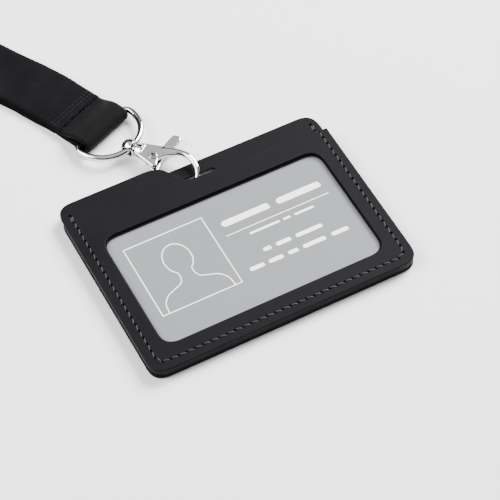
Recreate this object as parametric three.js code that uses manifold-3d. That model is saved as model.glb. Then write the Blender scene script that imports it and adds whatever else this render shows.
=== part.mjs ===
// Leather badge holder on a webbing neck lanyard: a stitched card pocket with a window, a trigger snap hook on a
// swivel eye, a D-ring, and the flat strap that carries it.
// Millimetres, +Z out of the pocket's face, +Y towards the hook, origin at the centre of the pocket's back face.

import * as THREE from "three";
import { mergeVertices } from "three/addons/utils/BufferGeometryUtils.js";
import Module from "manifold-3d";

const wasm = await Module();
wasm.setup();

// ---------- driving dimensions ----------

const CLEAR = 0.05; // air between stacked or fitted pieces

// card pocket
const WIDTH = 94;
const HEIGHT = 72;
const CORNER = 5.5;
const LEATHER = 1.1; // rear panel
const MIDDLE = 0.85; // middle panel, whose top margin is the slotted strip
const CARD = { width: 85.6, height: 54, thick: 0.76, corner: 3.18 };
const CARD_ROOM = 0.35; // play round the card
const FILM = { thick: 0.22, margin: 2.6 };
const FACING = 0.72; // front leather
const LINING = 0.5; // lining behind the front leather
const WINDOW = { left: -39.3, right: 39.6, bottom: -27.8, top: 17.9, corner: 5.5 };
const STRIP_TOP = 33.9; // upper edge of the slotted strip
const STRIP_INSET = 0.5;
const REAR = { side: 28.4, shoulder: 17, top: 23 }; // lower between the shoulders, to clear the hook's gate
const THUMB_NOTCH = 9; // radius of the finger cut-out in the rear panel
const SLOT = { left: -6.2, right: 7.2, bottom: 24.2, top: 28.9, corner: 1.2 };
const STITCH = { inset: 3.1, width: 0.6, proud: 0.28, leftTop: 31, rightTop: 23.2 };

// heights of the pocket's layers
const middleBottom = LEATHER + CLEAR;
const middleTop = middleBottom + MIDDLE;
const cardBottom = middleTop + CLEAR;
const cardTop = cardBottom + CARD.thick;
const filmBottom = cardTop + CLEAR;
const filmTop = filmBottom + FILM.thick;
const liningBottom = filmTop + CLEAR;
const facingBottom = liningBottom + LINING + CLEAR;
const faceTop = facingBottom + FACING;

// snap hook, in its own frame: u runs from the eye to the tip, v across it
const EYE = { x: -14.2, y: 48, z: 3.6 };
const HOOK_HEADING = Math.atan2(-0.8, 0.6);
const BARREL = { radius: 2.9, back: 2.9, front: 1.5, hole: 1.5, flare: 2.5 };
const POST = { radius: 1.15, z: 3.8, flange: 2.1, washer: 0.6 };
const PLATE = { bottom: 3.7, top: 5.4, bevel: 0.3 };
const LEVER = { bottom: 1.9, top: 2.9 };
const PIVOT = { u: 8.9, v: -0.9, radius: 0.95, head: 1.55 };
const GATE = { radius: 0.48, height: 0.54, end: 23.4 };

// D-ring, in its own frame: the bar on the v axis, the bow along +u
const BAR = { x: -18.9, y: 60.9, z: 2.5 };
const RING = { wire: 1.1, half: 12, corner: 2.2, depth: 13.9, fullness: 0.64 };

// strap
const WEB = { width: 20, thick: 1.2 };
const LAYER_GAP = 0.15;
const FOLD = { length: 11.8, reach: 3.2, crest: 5.05 }; // bar to cross seam, bend before the bar, its height
const TRACK_GAP = 8; // distance between the strap's two legs where they stand on edge
const COIL = { radius: 52, pitch: 16, lift: 0.7, inner: 15.5 };
const SEAM = { offset: 1, width: 1, proud: 0.24 };
const TIE = { width: 12, thick: 0.6 };

// centreline of the strap's upper leg from the seam to the coil, seen from above, chosen by hand
const LEG_ROUTE = [
  [-23.5, 71.8],
  [-27.6, 81.3],
  [-32.5, 90.4],
  [-37.8, 99.3],
  [-43.1, 108.2],
  [-48.4, 117.1],
  [-53.6, 125.9],
  [-58.7, 134.7],
  [-63.8, 143.5],
];
const TWIST_START = 0.5; // share of that route after which the legs turn on edge

// ---------- materials ----------

const material = (color, roughness, metalness = 0) =>
  new THREE.MeshStandardMaterial({ color, roughness, metalness });
const leather = () => material(0x2c2d2f, 0.62);
const lining = () => material(0x1d1d1f, 0.8);
const webbing = () => material(0x17171a, 0.85);
const thread = () => material(0x6f7072, 0.6);
const chrome = () => material(0xd9dbdd, 0.12, 1);
const steel = () => material(0xa9abad, 0.3, 1);

// ---------- geometry helpers ----------

// Moves every vertex of a closed geometry to where place() puts it.
function warp(geometry, place) {
  const position = geometry.getAttribute("position");
  const point = new THREE.Vector3();
  for (let i = 0; i < position.count; i++) {
    const moved = place(point.fromBufferAttribute(position, i));
    position.setXYZ(i, moved.x, moved.y, moved.z);
  }
  return geometry;
}

// A geometry with only merged positions, as booleans need it.
function welded(geometry) {
  const bare = geometry.clone();
  bare.deleteAttribute("normal");
  bare.deleteAttribute("uv");
  return mergeVertices(bare, 1e-4);
}

function solid(geometry) {
  const { index, attributes } = welded(geometry);
  const mesh = new wasm.Mesh({
    numProp: 3,
    vertProperties: new Float32Array(attributes.position.array),
    triVerts: new Uint32Array(index.array),
  });
  return new wasm.Manifold(mesh);
}

function surface(manifold) {
  const { vertProperties, triVerts } = manifold.getMesh();
  const geometry = new THREE.BufferGeometry();
  geometry.setAttribute("position", new THREE.BufferAttribute(vertProperties, 3));
  geometry.setIndex(new THREE.BufferAttribute(triVerts, 1));
  geometry.computeVertexNormals();
  return geometry;
}

const unite = (...geometries) => surface(geometries.map(solid).reduce((a, b) => a.add(b)));
const cut = (geometry, ...tools) => surface(tools.map(solid).reduce((a, b) => a.subtract(b), solid(geometry)));

function slab(shape, bottom, top, curveSegments = 8) {
  const geometry = new THREE.ExtrudeGeometry(shape, { depth: top - bottom, bevelEnabled: false, curveSegments });
  return geometry.translate(0, 0, bottom);
}

// A closed outline with its corners rounded by arcs: one [x, y, radius] for each corner.
function rounded(corners, path = new THREE.Shape()) {
  const count = corners.length;
  for (let i = 0; i < count; i++) {
    const [x, y, radius] = corners[i];
    const before = corners[(i + count - 1) % count];
    const after = corners[(i + 1) % count];
    const here = new THREE.Vector2(x, y);
    const back = new THREE.Vector2(before[0] - x, before[1] - y).normalize();
    const ahead = new THREE.Vector2(after[0] - x, after[1] - y).normalize();
    const half = back.angleTo(ahead) / 2;
    const reach = radius / Math.tan(Math.min(half, Math.PI - half));
    const start = here.clone().addScaledVector(back, reach);
    const end = here.clone().addScaledVector(ahead, reach);
    if (i === 0) path.moveTo(start.x, start.y);
    else path.lineTo(start.x, start.y);
    path.quadraticCurveTo(x, y, end.x, end.y);
  }
  path.closePath();
  return path;
}

const box = (left, bottom, right, top, radius) => [
  [left, bottom, radius],
  [right, bottom, radius],
  [right, top, radius],
  [left, top, radius],
];

// A round rod along points, with a radius at each of them and flat ends.
function rod(points, radii, sides = 14, perSpan = 4) {
  const curve = new THREE.CatmullRomCurve3(points.map((p) => new THREE.Vector3(...p)), false, "centripetal");
  const steps = (points.length - 1) * perSpan;
  const frames = curve.computeFrenetFrames(steps, false);
  const barrel = new THREE.CylinderGeometry(1, 1, 1, sides, steps);
  return warp(barrel, ({ x, y, z }) => {
    const share = y + 0.5;
    const step = Math.round(share * steps);
    const place = share * (radii.length - 1);
    const low = Math.min(Math.floor(place), radii.length - 2);
    const radius = THREE.MathUtils.lerp(radii[low], radii[low + 1], place - low);
    return curve
      .getPointAt(step / steps)
      .addScaledVector(frames.normals[step], z * radius)
      .addScaledVector(frames.binormals[step], x * radius);
  });
}

// A closed round wire along a closed plane path.
function wireLoop(path, radius, steps = 56, sides = 12) {
  const torus = new THREE.TorusGeometry(2, 1, sides, steps);
  return warp(torus, ({ x, y, z }) => {
    const step = Math.round((Math.atan2(y, x) / (2 * Math.PI) + 1) * steps) % steps;
    const centre = path.getPointAt(step / steps);
    const along = path.getTangentAt(step / steps);
    const reach = (Math.hypot(x, y) - 2) * radius;
    return new THREE.Vector3(centre.x + along.y * reach, centre.y - along.x * reach, z * radius);
  });
}

// A bar of rectangular section through stations. Each has a centre, a width direction and a thickness direction.
function ribbon(stations, width, thick) {
  const steps = stations.length - 1;
  const bar = new THREE.BoxGeometry(1, 1, 1, steps, 1, 1);
  return warp(bar, ({ x, y, z }) => {
    const { centre, across, through } = stations[Math.round((x + 0.5) * steps)];
    return centre
      .clone()
      .addScaledVector(across, y * width)
      .addScaledVector(through, z * thick);
  });
}

// A ring of revolution about +Z from its closed [radius, height] outline.
function turned(outline, segments = 28) {
  const points = [...outline, outline[0]].map(([r, h]) => new THREE.Vector2(r, h));
  return new THREE.LatheGeometry(points, segments).rotateX(Math.PI / 2);
}

const part = new THREE.Group();
part.name = "lanyard_badge_holder";

function add(name, geometry, finish, group = part) {
  const mesh = new THREE.Mesh(geometry, finish);
  mesh.name = name;
  group.add(mesh);
  return mesh;
}

// ---------- card pocket ----------

const halfWidth = WIDTH / 2;
const halfHeight = HEIGHT / 2;
const cardEdge = CARD.width / 2;
const cardFloor = -halfHeight + STITCH.inset + 1.1;

// Front outline: full height on the left, an S-curve down to the slot, then the low mouth edge on the right.
function frontOutline(grow = 0) {
  const left = -halfWidth - grow;
  const right = halfWidth + grow;
  const bottom = -halfHeight - grow;
  const round = CORNER + grow;
  const shape = new THREE.Shape();
  shape.moveTo(left + round, bottom);
  shape.lineTo(right - round, bottom);
  shape.quadraticCurveTo(right, bottom, right, bottom + round);
  shape.lineTo(right, 24.3 + grow);
  shape.lineTo(-2.4, 26.3 + grow);
  shape.quadraticCurveTo(-4.6, 26.5 + grow, -5.6 + grow, 28.3);
  shape.lineTo(-8.2 + grow, 32.8);
  shape.quadraticCurveTo(-10.0 + grow, halfHeight + grow, -15 + grow, halfHeight + grow);
  shape.lineTo(left + round, halfHeight + grow);
  shape.quadraticCurveTo(left, halfHeight + grow, left, halfHeight + grow - round);
  shape.lineTo(left, bottom + round);
  shape.quadraticCurveTo(left, bottom, left + round, bottom);
  return shape;
}

function windowHole(margin = 0) {
  const { left, right, bottom, top, corner } = WINDOW;
  const outline = box(left - margin, bottom - margin, right + margin, top + margin, corner + margin / 2);
  return rounded(outline, new THREE.Path());
}

const facingShape = frontOutline();
facingShape.holes.push(windowHole());
add("front_panel", slab(facingShape, facingBottom, faceTop), leather());

const liningShape = frontOutline(-0.4);
liningShape.holes.push(windowHole(0.4));
add("front_lining", slab(liningShape, liningBottom, liningBottom + LINING), lining());

const { margin } = FILM;
const filmShape = rounded(
  box(WINDOW.left - margin, WINDOW.bottom - margin, WINDOW.right + margin, WINDOW.top + margin, 4),
);
add("window_film", slab(filmShape, filmBottom, filmTop), material(0xdfe4e8, 0.08));

const cardShape = rounded(box(-cardEdge, cardFloor, cardEdge, cardFloor + CARD.height, CARD.corner));
add("id_card", slab(cardShape, cardBottom, cardTop), material(0xb4b7ba, 0.45));

// Filler round the card, open at the mouth, with its left arm as tall as the strip
const weltTop = { left: 29, right: 22 };
const inner = cardEdge + CARD_ROOM;
const weltFloor = cardFloor - CARD_ROOM;
const weltShape = rounded([
  [-halfWidth + 0.2, weltTop.left, 0.4],
  [-halfWidth + 0.2, -halfHeight + 0.2, CORNER],
  [halfWidth - 0.2, -halfHeight + 0.2, CORNER],
  [halfWidth - 0.2, weltTop.right, 0.4],
  [inner, weltTop.right, 0.4],
  [inner, weltFloor, CARD.corner],
  [-inner, weltFloor, CARD.corner],
  [-inner, weltTop.left, 0.4],
]);
add("pocket_welt", slab(weltShape, cardBottom, liningBottom - CLEAR), leather());

const stripSide = halfWidth - STRIP_INSET;
const middleShape = rounded(box(-stripSide, -halfHeight + STRIP_INSET, stripSide, STRIP_TOP, CORNER));
middleShape.holes.push(
  rounded(box(SLOT.left, SLOT.bottom, SLOT.right, SLOT.top, SLOT.corner), new THREE.Path()),
);
add("middle_panel", slab(middleShape, middleBottom, middleTop), leather());

const rearShape = new THREE.Shape();
rearShape.moveTo(-halfWidth + CORNER, -halfHeight);
rearShape.lineTo(halfWidth - CORNER, -halfHeight);
rearShape.quadraticCurveTo(halfWidth, -halfHeight, halfWidth, -halfHeight + CORNER);
rearShape.lineTo(halfWidth, REAR.side);
rearShape.quadraticCurveTo(halfWidth, STRIP_TOP, halfWidth - CORNER, STRIP_TOP);
rearShape.lineTo(REAR.shoulder, STRIP_TOP);
rearShape.lineTo(REAR.shoulder, REAR.top);
rearShape.lineTo(THUMB_NOTCH, REAR.top);
rearShape.absarc(0, REAR.top, THUMB_NOTCH, 0, Math.PI, true);
rearShape.lineTo(-REAR.shoulder, REAR.top);
rearShape.lineTo(-REAR.shoulder, STRIP_TOP);
rearShape.lineTo(CORNER - halfWidth, STRIP_TOP);
rearShape.quadraticCurveTo(-halfWidth, STRIP_TOP, -halfWidth, REAR.side);
rearShape.lineTo(-halfWidth, -halfHeight + CORNER);
rearShape.quadraticCurveTo(-halfWidth, -halfHeight, -halfWidth + CORNER, -halfHeight);
add("back_panel", slab(rearShape, 0, LEATHER), leather());

// Thread runs over the face in a U: down the left side, along the bottom, and up the right side.
function stitchRun(name, side) {
  const out = halfWidth - STITCH.inset;
  const low = -halfHeight + STITCH.inset;
  const top = side < 0 ? STITCH.leftTop : STITCH.rightTop;
  const half = STITCH.width / 2;
  const run = rounded([
    [side * (out + half), top, 0.05],
    [side * (out + half), low - half, 3.2],
    [0, low - half, 0.05],
    [0, low + half, 0.05],
    [side * (out - half), low + half, 2.6],
    [side * (out - half), top, 0.05],
  ]);
  const bottom = faceTop + CLEAR;
  add(name, slab(run, bottom, bottom + STITCH.proud), thread());
}
stitchRun("stitch_run_left", -1);
stitchRun("stitch_run_right", 1);

// ---------- snap hook ----------

const hook = new THREE.Group();
hook.position.set(EYE.x, EYE.y, 0);
hook.rotation.z = HOOK_HEADING;
part.add(hook);

// The eye: a barrel along u with a domed back, a cross hole for the ring, and a post into the plate.
const eyeOutline = [[0, -BARREL.back]];
for (let i = 1; i <= 6; i++) {
  const turn = (i / 6) * (Math.PI / 2);
  eyeOutline.push([BARREL.radius * Math.sin(turn), -BARREL.back * Math.cos(turn)]);
}
eyeOutline.push([BARREL.radius, BARREL.front - 0.4], [BARREL.radius - 0.4, BARREL.front]);
eyeOutline.push([POST.radius, BARREL.front], [POST.radius, 4.9], [0, 4.9]);
const eyeBody = new THREE.LatheGeometry(eyeOutline.map(([r, h]) => new THREE.Vector2(r, h)), 28);
eyeBody.rotateZ(-Math.PI / 2).translate(0, 0, POST.z);
// The cross hole flares both ways, so the ring can swing in it.
const { hole, flare } = BARREL;
const crossHole = new THREE.LatheGeometry(
  [
    [0, -4],
    [flare, -4],
    [hole, 0],
    [flare, 4],
    [0, 4],
  ].map(([r, h]) => new THREE.Vector2(r, h)),
  24,
).translate(0, 0, EYE.z);
add("swivel_eye", cut(eyeBody, crossHole), chrome(), hook);

const washer = turned([
  [POST.radius + 0.1, -POST.washer / 2],
  [POST.flange, -POST.washer / 2],
  [POST.flange, POST.washer / 2],
  [POST.radius + 0.1, POST.washer / 2],
]);
washer.rotateY(Math.PI / 2).translate(BARREL.front + 0.45, 0, POST.z);
add("swivel_washer", washer, chrome(), hook);

// The plate: a wedge that widens from the collar to the hook's throat, which bites a hollow into its far edge.
const plateOutline = rounded([
  [3.2, 2.3, 0.6],
  [2.7, -2.2, 0.6],
  [10.8, -4.9, 0.7],
  [12.0, -4.0, 0.6],
  [10.5, -0.3, 3.2],
  [16.0, 3.1, 0.6],
  [16.0, 4.7, 0.6],
  [9.5, 3.9, 3.0],
]);
const plate = new THREE.ExtrudeGeometry(plateOutline, {
  depth: PLATE.top - PLATE.bottom - 2 * PLATE.bevel,
  bevelThickness: PLATE.bevel,
  bevelSize: PLATE.bevel,
  bevelOffset: -PLATE.bevel,
  bevelSegments: 2,
  curveSegments: 6,
}).translate(0, 0, PLATE.bottom + PLATE.bevel);
const collar = new THREE.CylinderGeometry(2.3, 2.5, 2.2, 24).rotateZ(Math.PI / 2).translate(3.6, 0, POST.z);
const arm = rod(
  [
    [10.5, 2.9, 4.5],
    [14.5, 3.9, 4.75],
    [18.6, 4.3, 4.75],
    [22.0, 3.0, 4.4],
    [24.4, 0.7, 3.6],
    [25.3, -1.7, 2.4],
    [25.4, -3.3, 1.3],
    [25.0, -5.0, 0.62],
  ],
  [1.0, 1.1, 1.08, 1.05, 1.0, 0.9, 0.7, 0.5],
);
const postHole = new THREE.CylinderGeometry(POST.radius + 0.12, POST.radius + 0.12, 3.4, 24)
  .rotateZ(Math.PI / 2)
  .translate(3.55, 0, POST.z);
const pinHole = new THREE.CylinderGeometry(PIVOT.radius + 0.06, PIVOT.radius + 0.06, 12, 24)
  .rotateX(Math.PI / 2)
  .translate(PIVOT.u, PIVOT.v, 4);
add("hook_body", cut(unite(plate, collar, arm), postHole, pinHole), chrome(), hook);

// The lever: a leaf under the plate, its thumb tab on one side and the gate's rod on the other.
const leafOutline = rounded([
  [10.0, -4.6, 0.9],
  [12.6, -4.9, 0.9],
  [11.6, 0.6, 1.0],
  [12.9, 6.0, 0.6],
  [13.6, 11.6, 1.7],
  [10.2, 12.0, 1.7],
  [9.3, 6.0, 0.6],
  [7.0, 0.8, 1.2],
  [7.0, -2.8, 1.2],
]);
const leaf = new THREE.ExtrudeGeometry(leafOutline, {
  depth: LEVER.top - LEVER.bottom - 0.4,
  bevelThickness: 0.2,
  bevelSize: 0.2,
  bevelOffset: -0.2,
  bevelSegments: 1,
  curveSegments: 5,
}).translate(0, 0, LEVER.bottom + 0.2);
const gateRod = rod(
  [
    [10.8, -3.9, 2.3],
    [11.9, -4.4, 1.75],
    [12.7, -4.55, 0.85],
    [14.0, -4.6, GATE.height],
    [17.5, -4.7, GATE.height],
    [20.5, -4.8, GATE.height],
    [GATE.end, -4.9, GATE.height],
  ],
  [0.6, 0.7, 0.55, GATE.radius, GATE.radius, GATE.radius, GATE.radius],
);
const leverHole = new THREE.CylinderGeometry(PIVOT.radius + 0.08, PIVOT.radius + 0.08, 6, 24)
  .rotateX(Math.PI / 2)
  .translate(PIVOT.u, PIVOT.v, 2.4);
add("gate_lever", cut(unite(leaf, gateRod), leverHole), chrome(), hook);

// The pivot: a rivet through plate, spring and lever, with a head below and a rolled rim above.
const rivet = new THREE.LatheGeometry(
  [
    [0, 1.3],
    [PIVOT.head - 0.3, 1.3],
    [PIVOT.head, 1.5],
    [PIVOT.head, LEVER.bottom - CLEAR],
    [PIVOT.radius, LEVER.bottom - CLEAR],
    [PIVOT.radius, PLATE.top + CLEAR],
    [PIVOT.head, PLATE.top + CLEAR],
    [PIVOT.head - 0.1, PLATE.top + 0.3],
    [0.75, PLATE.top + 0.3],
    [0.6, PLATE.top - 0.2],
    [0, PLATE.top - 0.2],
  ].map(([r, h]) => new THREE.Vector2(r, h)),
  28,
);
add("gate_rivet", rivet.rotateX(Math.PI / 2).translate(PIVOT.u, PIVOT.v, 0), steel(), hook);

const spring = turned([
  [PIVOT.radius + 0.15, LEVER.top + 0.12],
  [PIVOT.radius + 0.6, LEVER.top + 0.12],
  [PIVOT.radius + 0.6, PLATE.bottom - 0.12],
  [PIVOT.radius + 0.15, PLATE.bottom - 0.12],
]);
add("gate_spring", spring.translate(PIVOT.u, PIVOT.v, 0), steel(), hook);

// ---------- D-ring ----------

const ring = new THREE.Group();
ring.position.set(BAR.x, BAR.y, BAR.z);
const ringAxis = new THREE.Vector3(EYE.x - BAR.x, EYE.y - BAR.y, EYE.z - BAR.z).normalize();
const ringAcross = new THREE.Vector3(-ringAxis.y, ringAxis.x, 0).normalize();
const ringUp = new THREE.Vector3().crossVectors(ringAxis, ringAcross);
ring.quaternion.setFromRotationMatrix(new THREE.Matrix4().makeBasis(ringAxis, ringAcross, ringUp));
part.add(ring);

// Centreline of the D: the straight bar, two rounded corners and the bow.
const { half, depth, corner, fullness } = RING;
const ringPath = new THREE.Path();
ringPath.moveTo(depth, 0);
ringPath.bezierCurveTo(depth, half * fullness, corner + depth * 0.42, half, corner, half);
ringPath.quadraticCurveTo(0, half, 0, half - corner);
ringPath.lineTo(0, corner - half);
ringPath.quadraticCurveTo(0, -half, corner, -half);
ringPath.bezierCurveTo(corner + depth * 0.42, -half, depth, -half * fullness, depth, 0);
add("d_ring", wireLoop(ringPath, RING.wire), chrome(), ring);

// ---------- strap ----------

const up = new THREE.Vector3(0, 0, 1);
const leftOf = (direction) => new THREE.Vector3(-direction.y, direction.x, 0);

const legCurve = new THREE.CatmullRomCurve3(LEG_ROUTE.map(([x, y]) => new THREE.Vector3(x, y, 0)));
const seamPoint = legCurve.getPointAt(0);
const foldAway = new THREE.Vector3(seamPoint.x - BAR.x, seamPoint.y - BAR.y, 0).normalize();
const foldAcross = leftOf(foldAway).negate();

// The fold: the webbing comes in on the floor, turns round the bar and goes back over itself.
const lowerHeight = WEB.thick / 2;
const upperHeight = WEB.thick * 1.5 + LAYER_GAP;
function foldStation(back, height, tilt) {
  const centre = new THREE.Vector3(BAR.x, BAR.y, height).addScaledVector(foldAway, back);
  const through = up.clone().multiplyScalar(Math.cos(tilt)).addScaledVector(foldAway, Math.sin(tilt));
  return { centre, across: foldAcross, through };
}
const foldStations = [];
const foldEnd = FOLD.length - 0.4;
for (const back of [foldEnd, 8, 5, 2.5]) foldStations.push(foldStation(back, lowerHeight, 0));
for (let i = 0; i <= 12; i++) {
  const turn = (i / 12) * Math.PI;
  const height = THREE.MathUtils.lerp(lowerHeight, FOLD.crest, (1 - Math.cos(turn)) / 2);
  foldStations.push(foldStation(-FOLD.reach * Math.sin(turn), height, turn));
}
for (const [back, share, slope] of [
  [2.0, 0.06, 0.14],
  [4.2, 0.34, 0.36],
  [6.6, 0.78, 0.34],
  [9.0, 0.98, 0.08],
  [foldEnd, 1, 0],
]) {
  foldStations.push(foldStation(back, THREE.MathUtils.lerp(FOLD.crest, upperHeight, share), Math.PI + slope));
}
add("strap_fold", ribbon(foldStations, WEB.width, WEB.thick), webbing());

// Both legs: flat one on the other, then turned on edge, the upper one on the coil's inner side.
const twistAt = (share) => THREE.MathUtils.smootherstep(share, TWIST_START, 1);
function legStations(side, steps = 40) {
  const stations = [];
  for (let i = 0; i <= steps; i++) {
    const share = i / steps;
    const direction = legCurve.getTangentAt(share);
    const left = leftOf(direction);
    const turn = twistAt(share) * (Math.PI / 2);
    const through = up.clone().multiplyScalar(Math.cos(turn)).addScaledVector(left, Math.sin(turn));
    const across = left.clone().multiplyScalar(Math.cos(turn)).addScaledVector(up, -Math.sin(turn));
    const flat = side > 0 ? upperHeight : lowerHeight;
    const onEdge = WEB.width / 2 + COIL.lift;
    const height = flat * Math.cos(turn) + onEdge * Math.sin(turn);
    const apart = (side > 0 ? TRACK_GAP : 0) * twistAt(share);
    const centre = legCurve.getPointAt(share).addScaledVector(left, apart);
    centre.z = height;
    stations.push({ centre, across, through });
  }
  return stations;
}
add("strap_leg_upper", ribbon(legStations(1), WEB.width, WEB.thick), webbing());
add("strap_leg_lower", ribbon(legStations(-1), WEB.width, WEB.thick), webbing());

const seamHeight = upperHeight + WEB.thick / 2 + CLEAR + SEAM.proud / 2;
const seamStations = [SEAM.offset + SEAM.width, SEAM.offset].map((past) =>
  foldStation(FOLD.length + past, seamHeight, 0),
);
add("seam_stitching", ribbon(seamStations, WEB.width - 2, SEAM.proud), thread());

// The coil: both legs wound side by side on edge, given as the solid that they fill.
const legEnd = legCurve.getPointAt(1);
const legHeading = legCurve.getTangentAt(1);
const coilCentre = legEnd.clone().addScaledVector(leftOf(legHeading), COIL.radius);
const coilStart = Math.atan2(legEnd.y - coilCentre.y, legEnd.x - coilCentre.x);
const coilShape = new THREE.Shape();
const coilSteps = 40;
const firstTurn = 0.012;
for (let i = 0; i <= coilSteps; i++) {
  const turn = firstTurn + (i / coilSteps) * 2 * Math.PI;
  const radius = COIL.radius + WEB.thick - (COIL.pitch * turn) / (2 * Math.PI);
  const x = coilCentre.x + radius * Math.cos(coilStart + turn);
  const y = coilCentre.y + radius * Math.sin(coilStart + turn);
  if (i === 0) coilShape.moveTo(x, y);
  else coilShape.lineTo(x, y);
}
coilShape.closePath();
const coilHole = new THREE.Path().absarc(coilCentre.x, coilCentre.y, COIL.inner, 0, 2 * Math.PI, true);
coilShape.holes.push(coilHole);
add("strap_coil", slab(coilShape, COIL.lift, COIL.lift + WEB.width, 16), webbing());

// The tie: a band round one side of the coil.
const tieTurn = Math.PI;
const tieOuter = COIL.radius + WEB.thick - COIL.pitch / 2 + 0.9;
const tieInner = COIL.inner - 1.5;
const tieBottom = COIL.lift - 0.1;
const tieTop = COIL.lift + WEB.width + 0.3;
const tieShape = rounded(
  box(tieInner - TIE.thick, tieBottom - TIE.thick, tieOuter + TIE.thick, tieTop + TIE.thick, 1.4),
);
tieShape.holes.push(rounded(box(tieInner, tieBottom, tieOuter, tieTop, 0.9), new THREE.Path()));
const tie = new THREE.ExtrudeGeometry(tieShape, { depth: TIE.width, bevelEnabled: false, curveSegments: 4 })
  .translate(0, 0, -TIE.width / 2)
  .rotateX(Math.PI / 2)
  .rotateZ(coilStart + tieTurn)
  .translate(coilCentre.x, coilCentre.y, 0);
add("strap_tie", tie, webbing());

export default part;
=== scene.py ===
"""The looks of the lanyard badge holder: leather pocket, card, film, chrome hook and ring, webbing strap."""

import math
import random

import bmesh
import bpy
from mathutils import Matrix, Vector, noise


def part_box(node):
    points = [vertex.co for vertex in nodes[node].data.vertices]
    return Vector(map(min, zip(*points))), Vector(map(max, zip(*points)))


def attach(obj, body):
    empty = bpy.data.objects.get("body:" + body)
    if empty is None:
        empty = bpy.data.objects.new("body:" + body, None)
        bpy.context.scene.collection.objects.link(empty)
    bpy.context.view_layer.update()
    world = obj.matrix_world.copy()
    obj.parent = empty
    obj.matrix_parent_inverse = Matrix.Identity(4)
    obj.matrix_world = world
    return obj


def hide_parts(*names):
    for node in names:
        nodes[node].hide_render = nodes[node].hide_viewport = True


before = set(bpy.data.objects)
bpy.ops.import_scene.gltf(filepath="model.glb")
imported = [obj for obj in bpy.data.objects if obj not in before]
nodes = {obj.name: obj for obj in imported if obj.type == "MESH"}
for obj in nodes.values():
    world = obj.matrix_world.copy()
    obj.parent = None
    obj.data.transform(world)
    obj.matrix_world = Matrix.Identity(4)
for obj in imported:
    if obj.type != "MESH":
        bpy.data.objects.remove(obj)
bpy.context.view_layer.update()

MM = 0.001
scene = bpy.context.scene


def box_mm(node):
    """A CAD node's lowest and highest corner, in millimetres."""
    low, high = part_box(node)
    return low / MM, high / MM


# ---------- camera ----------


def add_camera(azimuth, elevation, distance, target, lens):
    """A camera that looks along +Y at azimuth 0 and turns anticlockwise seen from above."""
    around, up = math.radians(azimuth), math.radians(elevation)
    back = Vector((math.sin(around) * math.cos(up), -math.cos(around) * math.cos(up), math.sin(up)))
    data = bpy.data.cameras.new("camera")
    data.lens = lens
    data.sensor_width = 36
    data.clip_start = 0.01
    camera = bpy.data.objects.new("camera", data)
    scene.collection.objects.link(camera)
    camera.location = Vector(target) + back * distance
    camera.rotation_euler = (-back).to_track_quat("-Z", "Y").to_euler()
    scene.camera = camera


add_camera(azimuth=-28.04, elevation=54.11, distance=0.6483, target=(0.0024, -0.0052, 0), lens=145.6)


# ---------- materials ----------


class Shader:
    """A material's node tree, with short calls for the nodes used here."""

    def __init__(self, name, color, roughness, metallic=0.0, **sockets):
        self.material = bpy.data.materials.new(name)
        self.material.use_nodes = True
        self.tree = self.material.node_tree
        self.bsdf = self.tree.nodes["Principled BSDF"]
        self.set("Base Color", (*color, 1))
        self.set("Roughness", roughness)
        self.set("Metallic", metallic)
        for socket, value in sockets.items():
            self.set(socket.replace("_", " "), value)

    def set(self, socket, value):
        self.bsdf.inputs[socket].default_value = value

    def node(self, kind, links=(), **values):
        made = self.tree.nodes.new(kind)
        for key, value in values.items():
            setattr(made, key, value)
        for socket, source in dict(links).items():
            if isinstance(source, (int, float, tuple)):
                made.inputs[socket].default_value = source
            else:
                self.tree.links.new(source, made.inputs[socket])
        return made

    def link(self, source, socket):
        self.tree.links.new(source, self.bsdf.inputs[socket])

    def place(self):
        return self.node("ShaderNodeTexCoord").outputs["Object"]

    def uv(self, name):
        return self.node("ShaderNodeUVMap", uv_map=name).outputs["UV"]

    def noise(self, where, scale, detail=3.0, roughness=0.55):
        links = {"Vector": where, "Scale": scale, "Detail": detail, "Roughness": roughness}
        return self.node("ShaderNodeTexNoise", links).outputs["Fac"]

    def cells(self, where, scale, feature="F1", output="Distance"):
        made = self.node("ShaderNodeTexVoronoi", {"Vector": where, "Scale": scale}, feature=feature)
        return made.outputs[output]

    def math(self, operation, a, b=0.0, c=0.0):
        return self.node("ShaderNodeMath", {0: a, 1: b, 2: c}, operation=operation).outputs[0]

    def ramp(self, value, low, high, to_low=0.0, to_high=1.0):
        links = {"Value": value, "From Min": low, "From Max": high, "To Min": to_low, "To Max": to_high}
        return self.node("ShaderNodeMapRange", links).outputs["Result"]

    def mix(self, share, dark, light):
        made = self.node("ShaderNodeMix", data_type="RGBA")
        self.tree.links.new(share, made.inputs["Factor"])
        for index, color in ((6, dark), (7, light)):
            if isinstance(color, tuple):
                made.inputs[index].default_value = (*color, 1)
            else:
                self.tree.links.new(color, made.inputs[index])
        return made.outputs[2]

    def bump(self, height, distance, strength=1.0, under=None):
        links = {"Height": height, "Distance": distance, "Strength": strength}
        made = self.node("ShaderNodeBump", links)
        if under is not None:
            self.tree.links.new(under, made.inputs["Normal"])
        return made.outputs["Normal"]


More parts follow.
